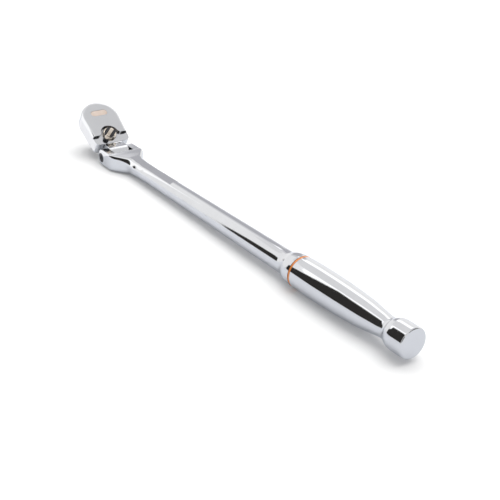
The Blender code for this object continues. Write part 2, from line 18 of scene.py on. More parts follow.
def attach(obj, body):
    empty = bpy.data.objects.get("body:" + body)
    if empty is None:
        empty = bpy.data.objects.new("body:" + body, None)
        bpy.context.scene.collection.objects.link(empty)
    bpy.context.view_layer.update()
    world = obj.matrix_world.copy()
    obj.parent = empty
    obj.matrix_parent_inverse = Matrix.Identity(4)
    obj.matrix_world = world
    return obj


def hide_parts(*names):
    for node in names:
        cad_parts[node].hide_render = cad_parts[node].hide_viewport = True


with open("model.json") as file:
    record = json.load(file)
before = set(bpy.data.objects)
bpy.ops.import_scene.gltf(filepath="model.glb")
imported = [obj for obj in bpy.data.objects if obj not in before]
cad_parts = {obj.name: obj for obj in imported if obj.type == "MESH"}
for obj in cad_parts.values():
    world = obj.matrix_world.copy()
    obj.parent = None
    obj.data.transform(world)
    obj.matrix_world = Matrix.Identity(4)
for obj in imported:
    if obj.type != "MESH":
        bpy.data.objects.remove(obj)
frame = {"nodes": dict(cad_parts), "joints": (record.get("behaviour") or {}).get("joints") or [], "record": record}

logging.basicConfig(level=logging.INFO, format="%(message)s")
log = logging.getLogger("ratchet")

MM = 0.001
RIGHT_ANGLE = math.radians(90)
# How far a cutter stands out past the piece, in millimetres.
CLEAR = 20.0
# Edges sharper than this stay crisp.
CRISP_ANGLE = math.radians(28.0)
# Sides that mirror each other.
SIDES = (1, -1)
Piece = bpy.types.Object
Finish = bpy.types.Material
Pair = tuple[float, float]
Triple = tuple[float, float, float]
Value = Union["Wire", float, int]
Test = Callable[[Vector], bool]
Station = tuple[float, float, float, float]


# ---- places

def joint(name: str) -> dict:
    """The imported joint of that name."""
    return next(j for j in frame["joints"] if j["name"] == name)


def mount(name: str) -> dict:
    """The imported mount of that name."""
    return next(m for m in frame["record"]["mounts"] if m["name"] == name)


def axes(origin: Sequence[float], along: Vector, up: Vector) -> Matrix:
    """Millimetre axes in the row frame.

    Args:
        origin: where the local origin is, in metres.
        along: the local X direction.
        up: the local Z direction.

    Returns:
        The matrix that takes local millimetres to metres in the row frame.
    """
    x = along.normalized()
    z = up.normalized()
    y = z.cross(x)
    turn = Matrix((x, y, z)).transposed().to_4x4()
    return Matrix.Translation(Vector(origin)) @ turn @ Matrix.Scale(MM, 4)


def handle_axes() -> Matrix:
    """X from the knob's end face to the flex pin, Z up."""
    knob = mount("knob_end")
    along = -Vector(knob["axis"])
    return axes(knob["pos_m"], along, along.cross(Vector((0, 1, 0))))


def head_axes() -> Matrix:
    """X from the flex pin to the head's tip, Z out of the top face."""
    up = Vector(joint("drive_turn")["axis"])
    return axes(joint("head_flex")["pos_m"], Vector((0, 1, 0)).cross(up), up)


HANDLE = handle_axes()
HEAD = head_axes()
# Where the flex pin and the orange band stand, in handle millimetres.
PIN_X = round((HANDLE.inverted() @ Vector(joint("head_flex")["pos_m"])).x, 2)
BAND_X = 118.8


def in_head(joint_name: str) -> float:
    """How far along the head a joint's axis stands, in millimetres from the flex pin."""
    return (HEAD.inverted() @ Vector(joint(joint_name)["pos_m"])).x


# ---- bench

class Mode(Enum):
    """What a boolean cut does."""

    CUT = "DIFFERENCE"
    JOIN = "UNION"
    KEEP = "INTERSECT"


class Kind(Enum):
    """What a selection is made of."""

    VERT = "vertices"
    EDGE = "edges"
    FACE = "faces"


class Bench:
    """Work on one piece at a time, in millimetres."""

    @staticmethod
    def clear() -> None:
        """Leave edit mode and deselect every object."""
        if bpy.context.object and bpy.context.object.mode != "OBJECT":
            bpy.ops.object.mode_set(mode="OBJECT")
        bpy.ops.object.select_all(action="DESELECT")

    @staticmethod
    def apply() -> None:
        """Put the place, turn and scale of the open piece into its mesh."""
        bpy.ops.object.transform_apply(location=True, rotation=True, scale=True)

    @staticmethod
    def outwards() -> None:
        """Select the whole mesh and point every face outwards, in edit mode."""
        bpy.ops.mesh.select_all(action="SELECT")
        bpy.ops.mesh.normals_make_consistent(inside=False)

    @staticmethod
    def take(piece: Piece) -> None:
        """Make one object the only selected and active one."""
        Bench.clear()
        piece.select_set(True)
        bpy.context.view_layer.objects.active = piece

    @staticmethod
    def edit(piece: Piece) -> None:
        """Open a piece in edit mode with nothing selected."""
        Bench.take(piece)
        bpy.ops.object.mode_set(mode="EDIT")
        bpy.ops.mesh.select_all(action="DESELECT")

    @staticmethod
    def blank(name: str) -> Piece:
        """A new piece with an empty mesh, open in edit mode."""
        Bench.clear()
        bpy.ops.mesh.primitive_plane_add()
        piece = bpy.context.object
        piece.name = name
        piece.data.name = name
        bpy.ops.object.mode_set(mode="EDIT")
        bpy.ops.mesh.select_all(action="SELECT")
        bpy.ops.mesh.delete(type="VERT")
        return piece

    @staticmethod
    def select(kind: Kind, test: Callable[..., bool]) -> None:
        """Select only the elements of one kind that pass the test, in edit mode."""
        bpy.ops.mesh.select_mode(type=kind.name)
        bpy.ops.mesh.select_all(action="DESELECT")
        shape = bmesh.from_edit_mesh(bpy.context.object.data)
        elements = {Kind.VERT: shape.verts, Kind.EDGE: shape.edges, Kind.FACE: shape.faces}
        for element in elements[kind]:
            element.select = test(element)
        if kind is Kind.VERT:
            shape.select_flush(True)
        bmesh.update_edit_mesh(bpy.context.object.data)

    @staticmethod
    def select_verts(test: Test) -> None:
        """Select only the vertices whose place passes the test."""
        Bench.select(Kind.VERT, lambda vert: test(vert.co))

    @staticmethod
    def select_edges(test: Test) -> None:
        """Select only the edges whose middle passes the test."""
        Bench.select(Kind.EDGE, lambda edge: test((edge.verts[0].co + edge.verts[1].co) / 2))

    @staticmethod
    def select_rims(test: Test) -> None:
        """Select the edges round the flat faces whose normal passes the test."""
        Bench.select(Kind.FACE, lambda face: test(face.normal))
        bpy.ops.mesh.region_to_loop()

    @staticmethod
    def extrude(by: Sequence[float]) -> None:
        """Extrude what is selected along a vector."""
        bpy.ops.mesh.extrude_region_move(TRANSFORM_OT_translate={"value": tuple(by)})

    @staticmethod
    def raise_face(low: float, high: float) -> None:
        """Move a flat outline at height 0 to one height and extrude it to another."""
        bpy.ops.mesh.select_all(action="SELECT")
        bpy.ops.transform.translate(value=(0, 0, low))
        Bench.extrude((0, 0, high - low))

    @staticmethod
    def bevel(width: float, segments: int, corners: bool = False) -> None:
        """Round what is selected.

        Args:
            width: bevel width in millimetres.
            segments: steps across the bevel.
            corners: round vertices of a flat outline instead of edges.
        """
        bpy.ops.mesh.bevel(offset=width, segments=segments, profile=0.5,
                           affect="VERTICES" if corners else "EDGES", clamp_overlap=True)

    @staticmethod
    def close() -> None:
        """Point every face outwards and leave edit mode."""
        bpy.ops.mesh.select_all(action="SELECT")
        bpy.ops.mesh.remove_doubles(threshold=0.0005)
        Bench.outwards()
        bpy.ops.object.mode_set(mode="OBJECT")

    @staticmethod
    def cylinder(name: str, radius: float, low: float, high: float, sides: int = 96,
                 centre: Pair = (0.0, 0.0)) -> Piece:
        """An upright cylinder, the start of many turned parts.

        Args:
            name: object name.
            radius: radius in millimetres.
            low: height of its lower face.
            high: height of its upper face.
            sides: flats round it.
            centre: where its axis stands.

        Returns:
            The new object, in object mode.
        """
        Bench.clear()
        bpy.ops.mesh.primitive_cylinder_add(vertices=sides, radius=radius, depth=high - low,
                                            location=(*centre, (low + high) / 2))
        piece = bpy.context.object
        piece.name = name
        Bench.apply()
        return piece

    @staticmethod
    def box(name: str, low: Sequence[float], high: Sequence[float]) -> Piece:
        """A block between two corners."""
        Bench.clear()
        middle = (Vector(low) + Vector(high)) / 2
        bpy.ops.mesh.primitive_cube_add(size=1.0, location=middle)
        piece = bpy.context.object
        piece.name = name
        piece.scale = Vector(high) - Vector(low)
        Bench.apply()
        return piece

    @staticmethod
    def lay(piece: Piece, turn: Triple,
            shift: Sequence[float] = (0.0, 0.0, 0.0)) -> Piece:
        """Turn and shift a piece about the origin and apply it to its mesh."""
        Bench.take(piece)
        piece.rotation_euler = turn
        piece.location = shift
        Bench.apply()
        return piece

    @staticmethod
    def cut(piece: Piece, tool: Piece, mode: Mode = Mode.CUT) -> None:
        """Cut or join a piece with a tool object, which is used up."""
        Bench.take(piece)
        boolean = piece.modifiers.new(tool.name, "BOOLEAN")
        boolean.object = tool
        boolean.operation = mode.value
        boolean.solver = "EXACT"
        bpy.ops.object.modifier_apply(modifier=boolean.name)
        bpy.data.objects.remove(tool, do_unlink=True)

    @staticmethod
    def soften(piece: Piece, width: float, segments: int = 2,
               angle: float = 40.0) -> None:
        """Break the sharp edges of a machined piece.

        Args:
            piece: the piece.
            width: width of the broken edge in millimetres.
            segments: steps across it.
            angle: only edges sharper than this many degrees.
        """
        Bench.take(piece)
        bevel = piece.modifiers.new("broken_edges", "BEVEL")
        bevel.width = width
        bevel.segments = segments
        bevel.limit_method = "ANGLE"
        bevel.angle_limit = math.radians(angle)
        bpy.ops.object.modifier_apply(modifier=bevel.name)

    @staticmethod
    def finish(piece: Piece, name: str, place: Matrix) -> None:
        """Set a millimetre piece into the row frame and smooth it.

        Args:
            piece: the piece, shaped about the local origin.
            name: final name.
            place: local millimetres to row frame.
        """
        Bench.take(piece)
        piece.name = name
        piece.data.name = name
        piece.matrix_world = place @ piece.matrix_world
        Bench.apply()
        bpy.ops.object.shade_smooth_by_angle(angle=CRISP_ANGLE)
        level = piece.modifiers.new("level_flats", "WEIGHTED_NORMAL")
        level.weight = 80
        level.keep_sharp = True
        bpy.ops.object.modifier_apply(modifier=level.name)


def smooth_stations(stations: Sequence[Station], per_span: int) -> list[Station]:
    """Catmull-Rom samples through (x, half_width, half_height, corner) stations."""
    samples: list[Station] = []
    for i in range(len(stations) - 1):
        before, start = stations[max(i - 1, 0)], stations[i]
        end, after = stations[i + 1], stations[min(i + 2, len(stations) - 1)]
        for k in range(per_span):
            t = k / per_span
            samples.append(tuple(
                0.5 * (2 * b + (c - a) * t + (2 * a - 5 * b + 4 * c - d) * t ** 2
                       + (3 * b - a - 3 * c + d) * t ** 3)
                for a, b, c, d in zip(before, start, end, after)))
    samples.append(tuple(stations[-1]))
    return samples


# ---- shader maths

class Wire:
    """A shader socket that can be used in Python arithmetic."""

    def __init__(self, graph: "Graph", socket: bpy.types.NodeSocket) -> None:
        """Wrap an output socket of a graph."""
        self.graph = graph
        self.socket = socket

    def _math(self, operation: str, *values: Value) -> "Wire":
        """Add one Math node on the values."""
        return self.graph.node("ShaderNodeMath", {"operation": operation}, dict(enumerate(values)))

    def __add__(self, other: Value) -> "Wire":
        """Sum."""
        return self._math("ADD", self, other)

    __radd__ = __add__

    def __sub__(self, other: Value) -> "Wire":
        """Difference."""
        return self._math("SUBTRACT", self, other)

    def __rsub__(self, other: Value) -> "Wire":
        """Reflected difference."""
        return self._math("SUBTRACT", other, self)

    def __mul__(self, other: Value) -> "Wire":
        """Product."""
        return self._math("MULTIPLY", self, other)

    __rmul__ = __mul__

    def ramp(self, low: float, high: float) -> "Wire":
        """0 at or under low, 1 at or over high, smooth between."""
        return self.graph.node("ShaderNodeMapRange", {"interpolation_type": "SMOOTHSTEP"},
                               {"Value": self, "From Min": low, "From Max": high})


class Graph:
    """The node tree of one material."""

    def __init__(self, name: str) -> None:
        """Start a material that has only its shader and output."""
        self.material = bpy.data.materials.new(name)
        self.material.use_nodes = True
        self.nodes = self.material.node_tree.nodes
        self.links = self.material.node_tree.links
        self.shader = self.nodes["Principled BSDF"]
        self.place = self.node("ShaderNodeTexCoord", output="Object")

    def node(self, kind: str, settings: Optional[dict] = None, values: Optional[dict] = None,
             output: Union[str, int] = 0) -> Wire:
        """Add a node, set it and wire it.

        Args:
            kind: the node's type.
            settings: attributes of the node, set first.
            values: numbers, tuples or wires by socket name or number.
            output: which output to hand back.

        Returns:
            The chosen output as a wire.
        """
        made = self.nodes.new(kind)
        for key, value in (settings or {}).items():
            setattr(made, key, value)
        for key, value in (values or {}).items():
            self.feed(made.inputs[key], value)
        return Wire(self, made.outputs[output])

    def feed(self, socket: bpy.types.NodeSocket, value: Union[Value, tuple]) -> None:
        """Set or link one input."""
        if isinstance(value, Wire):
            self.links.new(value.socket, socket)
        else:
            socket.default_value = value

    def set(self, **values: Union[Value, tuple]) -> None:
        """Feed the shader's own sockets by name, with _ for a space."""
        for key, value in values.items():
            self.feed(self.shader.inputs[key.replace("_", " ")], value)

    def noise(self, scale: float, detail: float = 2.0, stretch: Sequence[float] = (1, 1, 1),
              turn: Sequence[float] = (0, 0, 0), rough: float = 0.5) -> Wire:
        """Noise about 0.5 on the piece's own metres.

        Args:
            scale: cells per metre.
            detail: octaves.
            stretch: scale of each axis after the turn.
            turn: how the pattern is turned, in radians.
            rough: roughness of the octaves.

        Returns:
            The noise value.
        """
        place = self.node("ShaderNodeMapping", {"vector_type": "TEXTURE"},
                          {"Vector": self.place, "Rotation": tuple(turn),
                           "Scale": tuple(1 / s for s in stretch)})
        return self.node("ShaderNodeTexNoise", None,
                         {"Vector": place, "Scale": scale, "Detail": detail, "Roughness": rough},
                         output="Fac")

    def mix(self, share: Value, first: Union[Wire, tuple],
            second: Union[Wire, tuple]) -> Wire:
        """Colour between two others."""
        return self.node("ShaderNodeMix", {"data_type": "RGBA"},
                         {0: share, 6: first, 7: second}, output=2)

    def bump(self, height: Wire, strength: float, distance: float) -> Wire:
        """Normal from a height."""
        return self.node("ShaderNodeBump", None,
                         {"Height": height, "Strength": strength, "Distance": distance},
                         output="Normal")

    def painted_crevice_shade(self, reach: float) -> Wire:
        """Mask for painted shade: 1 deep in corners, slots and narrow gaps, where shade falls and dark gaps are
        mirrored, and 0 in the open.
        """
        open_share = self.node("ShaderNodeAmbientOcclusion", {"samples": 6}, {"Distance": reach},
                               output="AO")
        return 1 - open_share.ramp(0.25, 0.80)


# ---- finishes

HEAD_TURN = (0.0, -math.asin(Vector(HEAD.col[0][:3]).normalized().z), 0.0)


@dataclass(frozen=True)
class PolishedChrome:
    """Mirror chrome with faint polishing lines, handling haze and a few hairlines."""

    name: str = "mirror_chrome"
    colour: Triple = (0.68, 0.685, 0.70)
    roughness: float = 0.045
    haze: float = 0.05
    lines_turn: Triple = (0.0, 0.0, 0.0)
    # How far the painted shade in corners reaches, in metres.
    corner_reach: float = 0.0035

    def make(self) -> Finish:
        """Build the material."""
        graph = Graph(self.name)
        cloud = graph.noise(55.0, 4.0, rough=0.6)
        smudge = graph.noise(24.0, 3.0, stretch=(0.4, 1, 1)).ramp(0.5, 0.78)
        lines = graph.noise(900.0, 2.0, stretch=(0.02, 1, 1), turn=self.lines_turn)
        hairs = graph.noise(420.0, 1.0, stretch=(0.06, 1, 1), turn=(0.5, 0.3, 0.4)).ramp(0.72, 0.8)
        ripple = graph.noise(140.0, 2.0)
        clean = graph.mix(cloud.ramp(0.3, 0.75), (*self.colour, 1.0),
                          tuple(c * 0.965 for c in self.colour) + (1.0,))
        # Painted shade: the base colour darkens to near black in corners, slots and gaps, standing in for the
        # shade and dark reflections there.
        tint = graph.mix(graph.painted_crevice_shade(self.corner_reach) * 0.85, clean, (0.05, 0.045, 0.04, 1.0))
        graph.set(Base_Color=tint, Metallic=1.0,
                  Roughness=self.roughness + smudge * self.haze + lines * 0.02 + hairs * 0.05,
                  Normal=graph.bump(ripple * 0.6 + lines * 0.10 + hairs * 0.06, 0.10, 0.00010))
        return graph.material


@dataclass(frozen=True)
class GroundMetal:
    """Steel with a ground or turned grain that runs one way."""

    name: str
    colour: Triple
    dark: Triple
    roughness: float = 0.28
    grain_turn: Triple = (0.0, 0.0, 0.0)
    grain: float = 1500.0

    def make(self) -> Finish:
        """Build the material."""
        graph = Graph(self.name)
        grain = graph.noise(self.grain, 3.0, stretch=(0.03, 1, 1), turn=self.grain_turn)
        stain = graph.noise(130.0, 4.0, rough=0.65)
        spots = graph.noise(700.0, 2.0).ramp(0.66, 0.74)
        tint = graph.mix(stain.ramp(0.38, 0.72) * 0.7 + spots * 0.25,
                         (*self.colour, 1.0), (*self.dark, 1.0))
        graph.set(Base_Color=tint, Metallic=1.0,
                  Roughness=self.roughness + grain * 0.12 + stain * 0.10 + spots * 0.1 - 0.08,
                  Normal=graph.bump(grain + spots * 0.4, 0.25, 0.00006))
        return graph.material


@dataclass(frozen=True)
class Enamel:
    """Coloured enamel or resin filling, slightly uneven, with a soft gloss."""

    name: str
    colour: Triple
    deep: Triple
    roughness: float = 0.32

    def make(self) -> Finish:
        """Build the material."""
        graph = Graph(self.name)
        cloud = graph.noise(260.0, 4.0)
        peel = graph.noise(2600.0, 2.0)
        specks = graph.noise(1900.0, 1.0).ramp(0.68, 0.74)
        tint = graph.mix(cloud.ramp(0.35, 0.7) * 0.8 + specks * 0.2,
                         (*self.colour, 1.0), (*self.deep, 1.0))
        graph.set(Base_Color=tint, Roughness=self.roughness + cloud * 0.15 + specks * 0.1,
                  Coat_Weight=0.35, Coat_Roughness=0.12,
                  Normal=graph.bump(peel, 0.2, 0.00003))
        return graph.material


@dataclass(frozen=True)
class Finishes:
    """Every finish of the tool, made once."""

    chrome: Finish
    head_chrome: Finish
    nickel: Finish
    black: Finish
    tool_steel: Finish
    spring: Finish
    orange: Finish
    badge: Finish

    @classmethod
    def make(cls) -> "Finishes":
        """Build every material."""
        return cls(
            chrome=PolishedChrome("handle_chrome").make(),
            head_chrome=PolishedChrome("head_chrome", roughness=0.06, lines_turn=HEAD_TURN).make(),
            nickel=GroundMetal("warm_nickel", (0.78, 0.71, 0.62), (0.36, 0.29, 0.22), 0.12,
                               HEAD_TURN, 900.0).make(),
            black=GroundMetal("blackened_steel", (0.075, 0.075, 0.08), (0.03, 0.03, 0.03), 0.30,
                              (0.0, 0.0, RIGHT_ANGLE)).make(),
            tool_steel=GroundMetal("ground_tool_steel", (0.46, 0.46, 0.47), (0.26, 0.25, 0.24),
                                   0.26, HEAD_TURN).make(),
            spring=GroundMetal("spring_wire", (0.55, 0.55, 0.57), (0.32, 0.31, 0.30), 0.2,
                               (0.0, 0.0, RIGHT_ANGLE)).make(),
            orange=Enamel("orange_band", (0.80, 0.25, 0.03), (0.60, 0.15, 0.01)).make(),
            badge=Enamel("peach_badge", (0.60, 0.49, 0.42), (0.50, 0.38, 0.30), 0.4).make())


# ---- handle

@dataclass
class Handle:
    """Knob, swelling grip, tapering shank and the fork, all one forging, in handle millimetres."""

    sides: int = 72
    knob: tuple[Pair, ...] = (
        (0.0, 10.45), (0.10, 10.95), (0.38, 11.37), (0.80, 11.65), (1.3, 11.75), (2.2, 11.75),
        (7.0, 11.75), (11.8, 11.75))
    knob_back: tuple[Pair, ...] = (
        (12.5, 11.75), (15.5, 11.45), (18.3, 10.5), (20.4, 9.2), (22.0, 8.65))
    grip: tuple[Pair, ...] = (
        (23.6, 8.5), (26.0, 8.45), (30.0, 8.9), (37.5, 9.9), (46.0, 11.0), (56.0, 11.8),
        (72.0, 12.6), (88.0, 13.0), (101.0, 13.12), (112.0, 12.95), (118.8, 12.75), (122.5, 12.65))
    shoulder: tuple[Pair, ...] = (
        (125.0, 12.5), (128.5, 12.05), (131.5, 10.95), (134.5, 9.95), (138.5, 9.5))
    shank: tuple[Pair, ...] = (
        (142.0, 9.43), (150.0, 9.38), (160.0, 9.3), (180.0, 9.15), (200.0, 9.0),
        (220.0, 8.85), (240.0, 8.7), (265.0, 8.52), (290.0, 8.35), (313.0, 8.22), (336.0, 8.1))
    fork: tuple[Station, ...] = (
        (-64.0, 8.12, 8.08, 8.05), (-58.0, 8.15, 8.05, 8.0), (-50.0, 8.2, 8.0, 7.8),
        (-43.0, 8.5, 8.0, 7.2), (-38.0, 8.5, 7.95, 6.6), (-34.0, 8.9, 7.9, 5.6),
        (-31.0, 10.0, 7.9, 4.8), (-27.0, 12.2, 7.85, 4.2), (-22.5, 14.8, 7.8, 3.6),
        (-18.5, 16.7, 7.8, 2.8), (-15.0, 17.25, 7.8, 1.9))
    ear_step: tuple[Triple, ...] = (
        (-0.9, 7.8, 1.8), (-0.35, 7.68, 1.75), (0.0, 7.4, 1.6))
    ear_half_width: float = 17.3
    ear_half_height: float = 7.4
    ear_corner: float = 1.6
    ear_taper: float = 0.9
    slot_depth: float = 13.5
    slot_half_width: float = 9.6
    nose: float = 6.3
    nose_radius: float = 5.5
    nose_sweep: float = RIGHT_ANGLE * 0.98
    nose_steps: int = 12
    bore_radius: float = 4.3
    plunger_radius: float = 2.5
    plunger_depth: float = 32.0
    band_half_width: float = 1.2
    band_floor: float = 11.65
    panel_start: float = 300.0
    panel_end: float = 350.0
    panel_height: float = 6.9
    panel_rise: float = math.radians(2.7)
    ramp_length: float = 30.0
    broken_edge: float = 0.28

    def _ring(self, x: float, half_width: float, half_height: float, corner: float) -> None:
        """Add one closed ring across the handle, in edit mode."""
        bpy.ops.mesh.select_all(action="DESELECT")
        across = (0.0, RIGHT_ANGLE, 0.0)
        turned = corner > half_width * 0.985
        if turned:
            bpy.ops.mesh.primitive_circle_add(vertices=self.sides, radius=1.0, location=(x, 0, 0),
                                              rotation=across)
            bpy.ops.transform.rotate(value=math.pi / self.sides, orient_axis="X",
                                     center_override=(x, 0, 0))
        else:
            bpy.ops.mesh.primitive_plane_add(size=2.0, location=(x, 0, 0), rotation=across)
        bpy.ops.transform.resize(value=(1, half_width, half_height), center_override=(x, 0, 0))
        if not turned:
            Bench.bevel(min(corner, half_height * 0.97), self.sides // 4 - 1, corners=True)
            bpy.ops.mesh.delete(type="ONLY_FACE")

    def stations(self) -> list[Station]:
        """Every ring of the forging from the knob's end face to the ears' nose."""
        knob = self._round(self.knob)
        turned = [sample for profile, spans in ((self.knob_back, 6), (self.grip, 3),
                                                (self.shoulder, 6), (self.shank, 2))
                  for sample in smooth_stations(self._round(profile), spans)]
        fork = smooth_stations([(PIN_X + x, w, z, c) for x, w, z, c in self.fork], 4)
        step = PIN_X - self.slot_depth
        ears = [(step + x, self.ear_half_width, z, c) for x, z, c in self.ear_step]
        centre = self.nose - self.nose_radius
        for k in range(self.nose_steps + 1):
            angle = self.nose_sweep * k / self.nose_steps
            drop = 1 - math.cos(angle)
            height = self.ear_half_height - self.nose_radius * drop
            ears.append((PIN_X + centre + self.nose_radius * math.sin(angle),
                         self.ear_half_width - self.ear_taper * drop, height,
                         min(self.ear_corner, height * 0.8)))
        return knob + turned + fork + ears

    @staticmethod
    def _round(profile: Sequence[Pair]) -> list[Station]:
        """Stations of a turned stretch, given as (x, radius)."""
        return [(x, r, r, r) for x, r in profile]

    def forging(self) -> Piece:
        """The solid handle before it is machined."""
        piece = Bench.blank("handle_forging")
        for station in self.stations():
            self._ring(*station)
        bpy.ops.mesh.select_mode(type="EDGE")
        bpy.ops.mesh.select_all(action="SELECT")
        bpy.ops.mesh.bridge_edge_loops(type="SINGLE")
        bpy.ops.mesh.select_all(action="DESELECT")
        bpy.ops.mesh.select_non_manifold()
        bpy.ops.mesh.edge_face_add()
        self._cap_ends()
        Bench.close()
        return piece

    def _cap_ends(self) -> None:
        """Close the first and last ring, in edit mode."""
        for low, high in ((-1.0, 0.01), (PIN_X + self.nose - 0.05, PIN_X + 50.0)):
            Bench.select_edges(lambda at, low=low, high=high: low < at.x < high)
            bpy.ops.mesh.edge_face_add()

    def machine(self, piece: Piece) -> None:
        """Cut the slot, the pin's bore, the band's groove and the top panel."""
        across = (RIGHT_ANGLE, 0, 0)
        lengthwise = (0, RIGHT_ANGLE, 0)
        at_pin = (PIN_X, 0, 0)
        Bench.cut(piece, Bench.box(
            "slot", (PIN_X - self.slot_depth, -self.slot_half_width, -CLEAR),
            (PIN_X + CLEAR, self.slot_half_width, CLEAR)))
        Bench.cut(piece, Bench.lay(
            Bench.cylinder("pin_bore", self.bore_radius, -CLEAR, CLEAR, 64), across, at_pin))
        Bench.cut(piece, Bench.lay(
            Bench.cylinder("plunger_bore", self.plunger_radius, -self.plunger_depth,
                           -self.slot_depth + 2.0, 40), lengthwise, at_pin))
        groove = Bench.cylinder("band_groove", CLEAR, -self.band_half_width,
                                self.band_half_width, 144)
        Bench.cut(groove, Bench.cylinder("groove_core", self.band_floor, -5, 5, 144))
        Bench.cut(piece, Bench.lay(groove, lengthwise, (BAND_X, 0, 0)))
        Bench.cut(piece, Bench.box("panel", (self.panel_start, -CLEAR, self.panel_height),
                                   (self.panel_end, CLEAR, CLEAR)))
        Bench.cut(piece, Bench.lay(
            Bench.box("panel_ramp", (0, -CLEAR, 0), (self.ramp_length, CLEAR, 12)),
            (0, -self.panel_rise, 0), (self.panel_end, 0, self.panel_height)))
        Bench.soften(piece, self.broken_edge, 3)

    def build(self, finishes: Finishes) -> None:
        """Shape, machine and dress the handle."""
        piece = self.forging()
        self.machine(piece)
        Bench.finish(piece, "handle_forged", HANDLE)
        dress(piece, finishes.chrome, "handle", "polished_chrome", "handle")


@dataclass
class GripBand:
    """Orange ring set in the grip's groove."""

    half_width: float = 0.9
    inner: float = 11.95
    outer: float = 12.72

    def build(self, finishes: Finishes) -> None:
        """Turn the ring with a slightly crowned face."""
        piece = Bench.cylinder("band", self.outer, -self.half_width, self.half_width, 144)
        Bench.edit(piece)
        Bench.select_rims(lambda normal: abs(normal.z) > 0.9)
        Bench.bevel(0.3, 3)
        Bench.close()
        Bench.cut(piece, Bench.cylinder("core", self.inner, -5, 5, 144))
        Bench.lay(piece, (0, RIGHT_ANGLE, 0), (BAND_X, 0, 0))
        Bench.finish(piece, "orange_grip_band", HANDLE)
        dress(piece, finishes.orange, "handle", "orange_enamel", "grip_band")


@dataclass
class FlexPin:
    """Cross pin with dished ends, seen in the fork's ears."""

    radius: float = 4.0
    half_length: float = 17.1
    broken_edge: float = 0.5
    dish: float = 2.5
    dish_depth: float = 0.7

    def build(self, finishes: Finishes) -> None:
        """Turn the pin, break its ends and dish them."""
        piece = Bench.cylinder("pin", self.radius, -self.half_length, self.half_length, 64)
        Bench.edit(piece)
        Bench.select_rims(lambda normal: abs(normal.z) > 0.9)
        Bench.bevel(self.broken_edge, 4)
        for side in SIDES:
            end = side * self.half_length
            Bench.select(Kind.FACE, lambda face, side=side, end=end: (
                face.normal.z * side > 0.99 and abs(face.calc_center_median().z - end) < 0.01))
            bpy.ops.mesh.inset(thickness=self.radius - self.broken_edge - self.dish)
            bpy.ops.mesh.inset(thickness=0.35, depth=-self.dish_depth)
            bpy.ops.mesh.inset(thickness=0.5, depth=-0.15)
        Bench.close()
        Bench.lay(piece, (RIGHT_ANGLE, 0, 0), (PIN_X, 0, 0))
        Bench.finish(piece, "cross_pin", HANDLE)
        dress(piece, finishes.black, "handle", "dark_steel", "flex_pin")


# ---- head

@dataclass(frozen=True)
class Bore:
    """One round hole along a joint's axis, its heights in head millimetres."""

    name: str
    joint: str
    radius: float
    high: float
    low: float = -CLEAR


